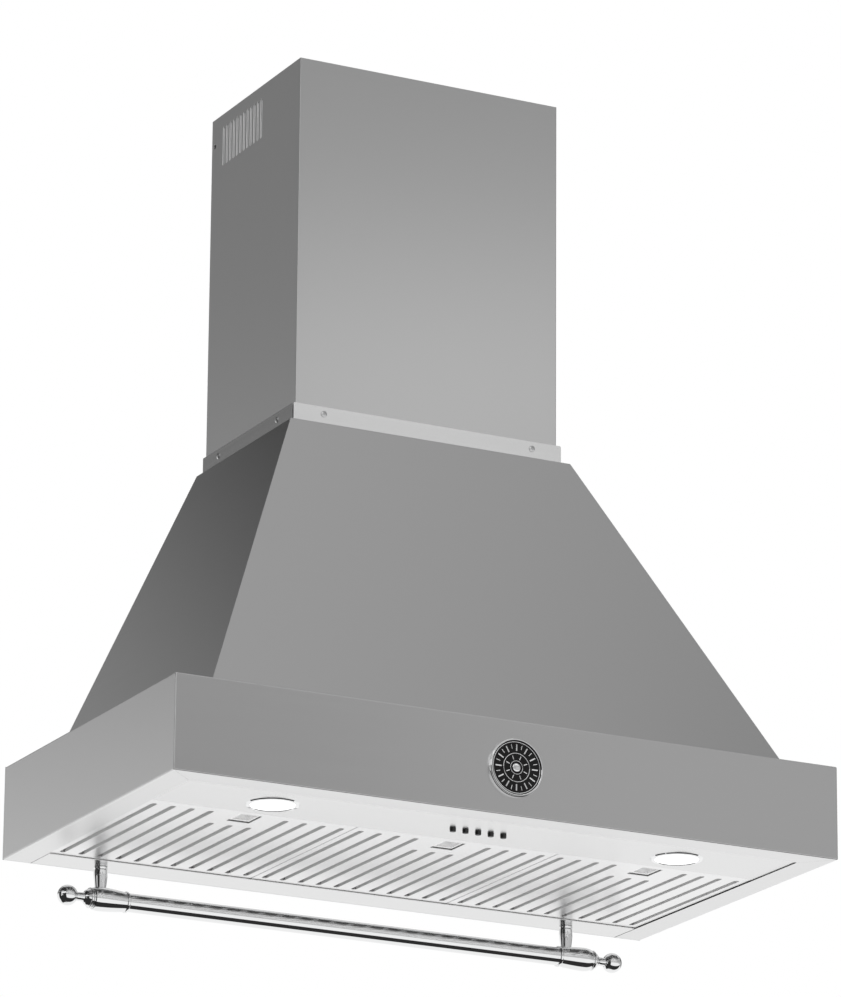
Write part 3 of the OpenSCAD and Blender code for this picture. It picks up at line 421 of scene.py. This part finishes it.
def softened(name, body, bend=1.4, cut=0.25, clearance=(0.0, 0.0, 0.0)):
    """A copy of a packed sheet with its folds rounded by bend and its cut edges broken by cut, in mm.
    Its faces are drawn in along x, y and z by clearance, which leaves a joint or room to slide.

    An edge is a fold if neither of its faces is narrow, and a cut edge otherwise. Area over perimeter, by
    which a face counts as narrow, is half the width of a long strip.
    """
    mesh = nodes[name].data.copy()
    mesh.name = name + "_folded"
    for layer in ("custom_normal", "sharp_edge", "sharp_face"):
        if layer in mesh.attributes:
            mesh.attributes.remove(mesh.attributes[layer])
    work = bmesh.new()
    work.from_mesh(mesh)
    bmesh.ops.remove_doubles(work, verts=work.verts, dist=MERGE)
    bmesh.ops.dissolve_limit(work, angle_limit=FLAT, verts=work.verts, edges=work.edges)
    weight = work.edges.layers.float.new("bevel_weight_edge")
    narrow = {face: face.calc_area() / face.calc_perimeter() < NARROW * MM for face in work.faces}
    for edge in work.edges:
        if len(edge.link_faces) != 2 or edge.calc_face_angle(0.0) <= FOLD:
            continue
        if edge.is_convex:
            edge[weight] = cut / bend if any(narrow[face] for face in edge.link_faces) else 1.0
        else:
            edge.smooth = False
    work.normal_update()
    for vert in work.verts:
        vert.co -= Vector(clearance) * vert.normal * MM * vert.calc_shell_factor()
    work.to_mesh(mesh)
    work.free()
    mesh.shade_smooth()
    piece = bpy.data.objects.new(name + "_folded", mesh)
    bpy.context.scene.collection.objects.link(piece)
    bevel = piece.modifiers.new("edges", "BEVEL")
    bevel.limit_method = "WEIGHT"
    bevel.width = bend * MM
    bevel.segments = 3
    bevel.harden_normals = True
    bevel.use_clamp_overlap = False
    split = piece.modifiers.new("triangles", "TRIANGULATE")
    split.min_vertices = 5
    split.keep_custom_normals = True
    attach(piece, body)
    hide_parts(name)
    return piece


# folded sheets, in mm

HALF_W = 450.0
FRONT = 500.0
BAND_TOP = 118.0
SHEET = 1.0
# top of the slope, where the collar starts
CANOPY_TOP = 535.0
# a filter's slots are below this height, and a latch's pocket is above the next one
PAN_LIPS_TOP = 6.0
LATCH_FACE = 3.8
# the heights between which the chimney's vents lie, and how far from the wall they start and end
VENT_LOW = 940.0
VENT_HIGH = 1010.0
VENT_START = 30.0
VENT_REACH = 155.0
# a face stands upright or turns aside if its normal has less than this along an axis
UPRIGHT = 0.2
ASLANT = 0.5


def refinished(piece, material, chosen):
    """Gives another finish to the faces for which chosen(centre in mm, normal) is true."""
    mesh = piece.data
    mesh.materials.append(material)
    for face in mesh.polygons:
        if chosen(face.center / MM, face.normal):
            face.material_index = 1


def collar_painted_light_and_shade(centre, normal):
    """The strip above the slope: lighter on the front as painted light, darker on the sides as painted
    shade.
    """
    return centre.z > CANOPY_TOP + SHEET / 2


def slot_wall_painted_mask(centre, normal):
    """The walls of a filter's slots are matt and pale, as painted light."""
    return centre.z < PAN_LIPS_TOP and abs(normal.z) < UPRIGHT


def pocket_painted_light_mask(centre, normal):
    """The pocket that a finger pulls a latch by is matt and near white, as painted light."""
    return centre.z > LATCH_FACE and normal.z < ASLANT


def vent_edge_painted_mask(centre, normal):
    """The cut edges of the chimney's vents are painted bright, as painted light."""
    beside = VENT_LOW < centre.z < VENT_HIGH and -VENT_REACH < centre.y < -VENT_START
    return beside and abs(normal.x) < ASLANT


# the collar above the slope carries painted light on its front and painted shade on its sides
refinished(softened("canopy_front", "hood"), collar_front_painted_light, collar_painted_light_and_shade)
for node_name in ("canopy_left", "canopy_right"):
    refinished(softened(node_name, "hood"), collar_side_painted_shade, collar_painted_light_and_shade)
refinished(softened("chimney_lower", "hood"), vent_edge_painted_light, vent_edge_painted_mask)
refinished(softened("chimney_upper", "upper_chimney"), vent_edge_painted_light, vent_edge_painted_mask)
softened("light_panel", "hood", bend=0.5)
softened("rear_crosspiece", "hood", bend=0.5, clearance=(1.0, 0.0, 0.0))
for side_name in SIDES:
    pan = softened("filter_pan_" + side_name, "filter_" + side_name, bend=0.5, cut=0.2)
    refinished(pan, slot_wall_painted_light, slot_wall_painted_mask)
    latch = softened("filter_latch_" + side_name, "latch_" + side_name,
                     bend=1.0, cut=0.2, clearance=(0.02, 0.02, 0.02))
    refinished(latch, channel_painted_light, pocket_painted_light_mask)


# band, in mm

BAND_BEND = 1.5
RIM_WIDTH = 37.0
MITRE_GAP = 0.25
FLANGE_SIDE = 71.0
FLANGE_FRONT = 39.5
# where the flange's and the rim's rows of points next to a bend lie: a share of its width, and an inset
FLANGE_NEXT = 0.1
RIM_NEXT = 4.0
# a level that is inset by this much more than the bend is part of the flange or of the rim
HAIR = 0.01
# faces whose middle is lower than this belong to the rim
RIM_FACES = 0.1


def band_levels():
    """The band's folded section from its upper flange to its rim: (inset of sides, of front, height)."""
    a = np.linspace(0, math.pi / 2, 5)
    bend = BAND_BEND
    upper = np.stack([bend - bend * np.sin(a)] * 2 + [BAND_TOP - bend + bend * np.cos(a)], -1)
    lower = np.stack([bend - bend * np.cos(a)] * 2 + [bend - bend * np.sin(a)], -1)
    flange = [(FLANGE_SIDE * share, FLANGE_FRONT * share, BAND_TOP) for share in (1.0, FLANGE_NEXT)]
    rim = [(inset, inset, 0.0) for inset in (RIM_NEXT, RIM_WIDTH)]
    return np.concatenate([flange, upper, lower, rim])


def band():
    """The section carried down the left side, along the front and up the right side.

    At a corner each level turns through a quarter circle of radius max(bend - inset, 0) about
    (side + inset + radius, front + inset + radius). The flange and the rim, whose levels have no such
    circle, end on either side of a narrow mitre gap instead.
    """
    levels = band_levels()
    side, front, z = levels.T
    radius = np.maximum(BAND_BEND - np.minimum(side, front), 0)
    flat = np.minimum(side, front) > BAND_BEND + HAIR
    count = 8
    a = np.linspace(math.pi, 1.5 * math.pi, count)
    x = (-HALF_W + side + radius)[:, None] + radius[:, None] * np.cos(a)
    y = (-FRONT + front + radius)[:, None] + radius[:, None] * np.sin(a)
    first = np.arange(count) < count // 2
    y = np.where(flat[:, None] & first, y + MITRE_GAP / 2, y)
    x = np.where(flat[:, None] & ~first, x + MITRE_GAP / 2, x)
    rear_x, rear_y = x[:, :1], np.full((len(z), 1), -SHEET)
    all_x = np.concatenate([rear_x, x, -x[:, ::-1], -rear_x], 1)
    all_y = np.concatenate([rear_y, y, y[:, ::-1], rear_y], 1)
    points = np.stack([all_x, all_y, np.broadcast_to(z[:, None], all_x.shape)], -1)
    rows, cols = all_x.shape
    faces = grid_faces(rows, cols).reshape(rows - 1, cols - 1, 4)
    keep = np.ones((rows - 1, cols - 1), bool)
    open_rows = flat[:-1] | flat[1:]
    for gap in (count // 2, cols - 2 - count // 2):
        keep[open_rows, gap] = False
    return points.reshape(-1, 3), faces[keep][:, ::-1]


def add_band():
    """The band as a sheet: its rim and the band's cut edges are painted lighter, as painted light, and the
    rim's own cut edges near black, as painted shade.
    """
    fascias = ("front_fascia", "left_fascia", "right_fascia")
    piece = add_piece("band", band(), steel_band, stands_for=fascias, closed=False)
    mesh = piece.data
    mesh.materials.append(rim_painted_light)
    mesh.materials.append(cut_edge_painted_shade)
    for face in mesh.polygons:
        if face.center.z < RIM_FACES * MM:
            face.material_index = 1
    wall = piece.modifiers.new("wall", "SOLIDIFY")
    wall.material_offset_rim = 1
    wall.thickness = SHEET * MM
    wall.offset = -1.0
    wall.use_even_offset = True
    flat = piece.modifiers.new("flat_faces", "WEIGHTED_NORMAL")
    flat.keep_sharp = True


add_band()


# rail, in mm; profiles are lists of (radius, height along the axis)

RAIL_Y = -48.0
RAIL_Z = -47.0
TUBE_R = 11.6
TUBE_HALF = 302.0
FINIAL_X = 348.4
BALL_X = 382.4
BALL_R = 12.7
POST_X = 328.0
POST_Y = -24.0
TUBE_WALL = 1.5
TUBE_BREAK = 0.3
# the sleeve stands this far over the tube at its mouth, swells to this radius and falls back by so much
SLEEVE_STEP = 0.7
SLEEVE_R = 15.0
SLEEVE_FALL = 1.3
# the bead at its mouth: its length along the rail, its height, and half the length of its curve
BEAD_LENGTH = 4.0
BEAD_HEIGHT = 1.2
BEAD_HALF = 1.9
# the spigot that holds it in the tube
SPIGOT_LENGTH = 14.0
SPIGOT_UNDER = 1.6
# the two beads behind each ball: their places from the sleeve's end, radius, height and half length
END_BEADS = (1.5, 4.6)
END_BEAD_R = 11.4
END_BEAD_HEIGHT = 1.6
END_BEAD_HALF = 1.45
# the hollow neck, from the sleeve's end, and how deep it reaches into the ball
NECK = [(11.4, 6.05), (9.0, 10.5), (6.2, 12.6), (5.4, 15.5)]
NECK_IN_BALL = 1.8
# the ball starts at this angle from its pole
BALL_START = math.radians(26)
STEM = [(0, 0), (8.7, 0), (8.7, -2), (8.1, -3.2), (8.7, -4.6), (8.7, -12), (6.3, -35), (6.3, -52),
        (4.3, -54), (0, -54)]
ARM = [(0, 0), (4.4, 0), (4.4, 10.4), (5.6, 11.8), (0, 11.8)]
STUD = [(0, 0), (3, 0), (3, 8.5), (2.5, 9), (0, 9)]


def rail_tube():
    """A straight tube with broken edges, open right through."""
    r, h, inner, cut = TUBE_R, TUBE_HALF, TUBE_R - TUBE_WALL, TUBE_BREAK
    outline = [(inner, -h), (r - cut, -h), (r, -h + cut), (r, h - cut), (r - cut, h), (inner, h),
               (inner, -h)]
    return turned(outline, (0, RAIL_Y, RAIL_Z), (1, 0, 0), count=128)


def sleeve(s):
    """A turned sleeve on the side s, -1 left or 1 right: its radius swells as a quarter sine over four
    fifths of its length, then falls back as a parabola, behind a rounded bead where it meets the tube."""
    mouth = TUBE_R + SLEEVE_STEP
    k = np.linspace(0, 1, 33)
    swell = mouth + (SLEEVE_R - TUBE_R - SLEEVE_STEP) * np.sin(np.minimum(1, k * 1.25) * math.pi / 2)
    swell -= SLEEVE_FALL * (np.maximum(0, k - 0.8) / 0.2) ** 2
    body = np.stack([swell, TUBE_HALF + BEAD_LENGTH + k * (FINIAL_X - TUBE_HALF - BEAD_LENGTH)], -1)
    bead = np.linspace(0, math.pi, 9)
    ring = np.stack([mouth + BEAD_HEIGHT * np.sin(bead),
                     TUBE_HALF + BEAD_LENGTH / 2 - BEAD_HALF * np.cos(bead)], -1)
    spigot_r, spigot_end = TUBE_R - SPIGOT_UNDER, TUBE_HALF - SPIGOT_LENGTH
    spigot = [(0, spigot_end), (spigot_r, spigot_end), (spigot_r, TUBE_HALF)]
    outline = np.concatenate([spigot, ring, body, [(0, FINIAL_X)]])
    return turned(outline, (0, RAIL_Y, RAIL_Z), (s, 0, 0))


def finial(s):
    """Two beads, a hollow neck and a ball, all turned about the rail's axis."""
    bead = np.linspace(0, math.pi, 9)
    beads = [np.stack([END_BEAD_R + END_BEAD_HEIGHT * np.sin(bead),
                       FINIAL_X + at - END_BEAD_HALF * np.cos(bead)], -1) for at in END_BEADS]
    hollow = [(r, FINIAL_X + h) for r, h in NECK]
    neck = eased(hollow + [(NECK[-1][0], BALL_X - BALL_R + NECK_IN_BALL)], reach=3.0)
    a = np.linspace(BALL_START, math.pi, 40)
    ball = np.stack([BALL_R * np.sin(a), BALL_X - BALL_R * np.cos(a)], -1)
    outline = np.concatenate([[(0, FINIAL_X)], *beads, neck, ball])
    return turned(outline, (0, RAIL_Y, RAIL_Z), (s, 0, 0))


def post(s):
    """A tapered post with a waist under its head, an arm to the rail and a threaded stud above."""
    stem = turned(eased(STEM, reach=0.8), (s * POST_X, POST_Y, 0), (0, 0, 1))
    arm = turned(eased(ARM, reach=0.5), (s * POST_X, POST_Y, RAIL_Z), (0, -1, 0), count=48)
    stud = turned(eased(STUD, reach=0.3), (s * POST_X, POST_Y, 0), (0, 0, 1), count=48)
    return joined(stem, arm, stud)


add_piece("rail_bar", rail_tube(), chrome, stands_for=("rail_tube",))
add_piece("rail_sleeves_turned", joined(sleeve(-1), sleeve(1)), chrome,
          stands_for=("rail_sleeves",))
add_piece("rail_ends", joined(finial(-1), finial(1)), chrome, stands_for=("rail_finials",))
add_piece("rail_legs", joined(post(-1), post(1)), chrome, stands_for=("rail_posts",))


# buttons, in mm

BUTTON_PITCH = 17.25
BUTTON_Y = -405.0
BUTTON_EASE = 1.3
BUTTON = [(0, -3.0), (3.8, -3.0), (3.8, 7.8), (5.3, 7.8), (5.3, 9.8), (2.8, 9.8), (2.8, 12.3), (0, 12.3)]


def push_button(i):
    """A turned cap whose lower edge is rounded, with its flange and stem above the panel."""
    place = ((i - 2) * BUTTON_PITCH, BUTTON_Y, 0)
    return turned(eased(BUTTON, BUTTON_EASE, steps=5), place, (0, 0, 1), count=64)


for index in range(5):
    cad_name = "button_%d" % (index + 1)
    add_piece(cad_name + "_cap", push_button(index), button_black, body=cad_name,
              stands_for=(cad_name,))


# badge, in mm

BADGE_Z = 58.9
BADGE_PROUD = 3.5
BADGE_FACE = -(FRONT + BADGE_PROUD)
# radius, width and height of each ring
RINGS = [(31.6, 0.9, 0.35), (17.6, 0.9, 0.35), (8.2, 0.7, 0.3)]
# how many bars, the turn of the first one, the radii where they start and end, their width and height
BARS = [(12, 0.0, 20.6, 28.6, 1.7, 0.35), (12, TURN / 24, 23.2, 28.6, 0.9, 0.3),
        (8, TURN / 16, 10.4, 15.2, 1.2, 0.3)]
BOSS_R = 5.2
BOSS_HEIGHT = 0.9


def badge_ring(radius, width, height):
    """A half-round wire bent to a circle: -cos a * width / 2 along the radius, sin a * height proud."""
    a = np.linspace(0, math.pi, 9)
    outline = np.stack([radius - width / 2 * np.cos(a), height * np.sin(a)], -1)
    outline = np.concatenate([outline, outline[:1]])
    return turned(outline, (0, BADGE_FACE, BADGE_Z), (0, -1, 0))


def badge_bars(count, start, inner, outer, width, height):
    """Half-round bars along the radius, evenly spaced, with the same half circle as a ring's section."""
    a = np.linspace(0, math.pi, 7)
    across = -np.cos(a) * width / 2
    angle = start + np.arange(count) * TURN / count
    ends = np.array([inner, outer])
    r, t, w = np.broadcast_arrays(ends[None, :, None], angle[:, None, None], across[None, None, :])
    proud = np.broadcast_to(np.sin(a) * height, r.shape)
    points = np.stack([r * np.cos(t) - w * np.sin(t), BADGE_FACE - proud,
                       BADGE_Z + r * np.sin(t) + w * np.cos(t)], -1)
    n = len(a)
    quads = grid_faces(2, n, around=True)
    faces = [(quad + bar * 2 * n).tolist() for bar in range(count) for quad in quads]
    faces += [(np.arange(n) + bar * 2 * n + end).tolist() for bar in range(count) for end in (0, n)]
    return points.reshape(-1, 3), faces


def badge_boss():
    """A shallow dome at the badge's middle, inside a ring."""
    a = np.linspace(0, math.pi / 2, 7)
    outline = np.stack([BOSS_R * np.sin(a), BOSS_HEIGHT * np.cos(a)], -1)
    return turned(np.concatenate([outline, [(0, 0)]]), (0, BADGE_FACE, BADGE_Z), (0, -1, 0))


def badge_marks():
    """Rings, a boss and bars, as on a plain instrument dial."""
    rings = [badge_ring(*sizes) for sizes in RINGS]
    bars = [badge_bars(*sizes) for sizes in BARS]
    return joined(*rings, badge_boss(), *bars)


add_piece("badge_marks", badge_marks(), chrome)


# studio

FLOOR_Z = -2.3
FLOOR_HALF = 30.0
# a dark runner on the floor below the hood and a dark rug to its left, which only metal mirrors
RUNNER_Y = (-2.5, -0.05)
RUG_X = (-12.0, -1.0)
RUG_Y = (-2.5, 2.6)
RUNNER_SOFT = 0.12
DARK_TONE = 0.03
# dark flags that stand round the hood: (from, to) in degrees, turned from the wall's side to the right
LEFT_FLAG = (-80.0, -50.0)
FRONT_FLAG = (-140.0, -106.0)
RIGHT_FLAG = (52.0, 78.0)
FLAG_HEIGHT = (-0.1, 0.42)
FLAG_SOFT = 0.06
# a bright window in the front left of the studio, given in the same way
WINDOW = (-130.0, -84.0)
WINDOW_HEIGHT = (0.22, 0.44)
WINDOW_TONE = 1.0


def studio_floor():
    """A pale floor. Metal mirrors it as evenly lit, with dark strips, and from below it is clear."""
    mesh = bpy.data.meshes.new("floor")
    corners = [(-1, -1), (1, -1), (1, 1), (-1, 1)]
    mesh.from_pydata([(x * FLOOR_HALF, y * FLOOR_HALF, FLOOR_Z) for x, y in corners], [], [(0, 1, 2, 3)])
    floor = bpy.data.objects.new("floor", mesh)
    bpy.context.scene.collection.objects.link(floor)
    paint = Paint("floor_pale", Roughness=0.8)
    cloud = paint.noise(paint.stretched(FLOOR_CLOUDS), detail=3.0)
    paint.tones(paint.spread(cloud, 0.0, 1.0), grey(0.80), grey(0.82))
    x, y, _ = paint.axes("Object")
    runner = paint.inside(y, *RUNNER_Y, RUNNER_SOFT)
    rug = paint.math("MULTIPLY", paint.inside(x, *RUG_X, RUNNER_SOFT),
                     paint.inside(y, *RUG_Y, RUNNER_SOFT))
    dark = paint.math("MAXIMUM", runner, rug)
    turn = paint.math("ARCTAN2", x, y)
    for span in (LEFT_FLAG, FRONT_FLAG):
        dark = paint.math("MAXIMUM", dark, paint.towards(turn, span))
    rays = paint.node("ShaderNodeLightPath")
    shape = paint.node("ShaderNodeNewGeometry")
    lit = paint.node("ShaderNodeEmission", Color=grey(1.0))
    paint.link(paint.spread(dark, 1.0, DARK_TONE, 0.0, 1.0), lit.inputs["Strength"])
    clear = paint.node("ShaderNodeBsdfTransparent")
    mirror = paint.node("ShaderNodeMixShader")
    paint.link(rays.outputs["Is Glossy Ray"], mirror.inputs["Fac"])
    paint.link(paint.shader.outputs[0], mirror.inputs[1])
    paint.link(lit.outputs[0], mirror.inputs[2])
    below = paint.node("ShaderNodeMixShader")
    paint.link(shape.outputs["Backfacing"], below.inputs["Fac"])
    paint.link(mirror.outputs[0], below.inputs[1])
    paint.link(clear.outputs[0], below.inputs[2])
    paint.link(below.outputs[0], paint.tree.nodes["Material Output"].inputs["Surface"])
    mesh.materials.append(paint.material)


# brightness of the studio towards the wall's side, from the horizon up to overhead
BACK_TONES = [(0.0, 1.0), (0.20, 0.95), (0.25, 0.70), (0.29, 0.25), (0.36, 0.22), (0.46, 0.44),
              (0.51, 0.05), (0.6, 0.02), (0.72, 0.3), (0.8, 0.9), (1.0, 0.9)]
# the same towards the side of the camera
FRONT_TONES = [(0.0, 0.60), (0.2, 0.42), (0.35, 0.42), (0.6, 0.55), (1.0, 0.6)]
# how much of that light the studio's upper right keeps
SHADE_RIGHT = 0.5
# a direction counts as right, high or rear as its x, z or y rises from the first value to the second
TO_RIGHT = (0.44, 0.53)
TO_HIGH = (0.55, 0.75)
TO_REAR = (-0.15, 0.45)
# brightness of the studio for matt surfaces
WORLD_DIFFUSE = 0.85


def studio_world():
    """A grey studio for polished metal, an even one for matt surfaces, and white behind the hood."""
    world = bpy.data.worlds.new("studio")
    bpy.context.scene.world = world
    world.use_nodes = True
    world.node_tree.nodes.clear()
    sky = Wiring(world.node_tree)
    x, y, z = sky.axes("Generated")

    def ramp(stops):
        made = sky.node("ShaderNodeValToRGB")
        bar = made.color_ramp
        while len(bar.elements) < len(stops):
            bar.elements.new(0.5)
        for element, (at, tone) in zip(bar.elements, stops):
            element.position = at
            element.color = grey(tone)
        sky.link(z, made.inputs["Fac"])
        return made.outputs["Color"]

    def mixed(share, first, second, blend="MIX"):
        """first where share is 0, second where it is 1; either may be a plain grey."""
        made = sky.node("ShaderNodeMixRGB", blend_type=blend)
        sky.link(share, made.inputs["Fac"])
        for key, value in (("Color1", first), ("Color2", second)):
            if isinstance(value, float):
                made.inputs[key].default_value = grey(value)
            else:
                sky.link(value, made.inputs[key])
        return made.outputs[0]

    shade = sky.spread(x, 1.0, SHADE_RIGHT, *TO_RIGHT, "SMOOTHSTEP")
    high = sky.spread(z, 0.0, 1.0, *TO_HIGH, "SMOOTHSTEP")
    front = mixed(high, ramp(FRONT_TONES), shade, "MULTIPLY")
    tone = mixed(sky.spread(y, 0.0, 1.0, *TO_REAR, "SMOOTHSTEP"), front, ramp(BACK_TONES))
    turn = sky.math("ARCTAN2", x, y)
    level = sky.inside(z, *FLAG_HEIGHT, FLAG_SOFT)
    for span in (LEFT_FLAG, FRONT_FLAG, RIGHT_FLAG):
        tone = mixed(sky.math("MULTIPLY", sky.towards(turn, span), level), tone, DARK_TONE)
    pane = sky.math("MULTIPLY", sky.towards(turn, WINDOW), sky.inside(z, *WINDOW_HEIGHT, FLAG_SOFT / 2))
    tone = mixed(pane, tone, WINDOW_TONE)
    rays = sky.node("ShaderNodeLightPath")
    tone = mixed(rays.outputs["Is Diffuse Ray"], tone, WORLD_DIFFUSE)
    tone = mixed(rays.outputs["Is Camera Ray"], tone, 1.0)
    light = sky.node("ShaderNodeBackground")
    sky.link(tone, light.inputs["Color"])
    end = sky.node("ShaderNodeOutputWorld")
    sky.link(light.outputs[0], end.inputs["Surface"])


# place of each softbox, the point that it is aimed at, its width and height, and its power in watts
SOFTBOXES = {
    "softbox_key": ((-2.6, -4.2, 3.4), (0, -0.3, 0.4), (4.4, 4.4), 40.0),
    "softbox_front": ((1.05, -2.4, 1.36), (0, -0.26, 0.72), (1.1, 0.5), 1.05),
    "softbox_low": ((1.4, -2.4, 0.60), (0, -0.5, 0.06), (1.1, 0.5), 0.25),
}


def softbox(name, place, aim, size, power):
    """A rectangular lamp that the camera doesn't see."""
    data = bpy.data.lights.new(name, "AREA")
    data.shape = "RECTANGLE"
    data.size, data.size_y = size
    data.energy = power
    lamp = bpy.data.objects.new(name, data)
    way = np.array(aim, float) - np.array(place, float)
    way /= np.linalg.norm(way)
    side = np.cross(way, (0, 0, 1.0))
    side /= np.linalg.norm(side)
    up = np.cross(side, way)
    rows = [[side[i], up[i], -way[i], place[i]] for i in range(3)]
    lamp.matrix_world = Matrix(rows + [[0, 0, 0, 1]])
    lamp.visible_camera = False
    bpy.context.scene.collection.objects.link(lamp)


studio_floor()
studio_world()
for lamp_name, settings in SOFTBOXES.items():
    softbox(lamp_name, *settings)

bpy.context.scene.view_settings.view_transform = "Standard"
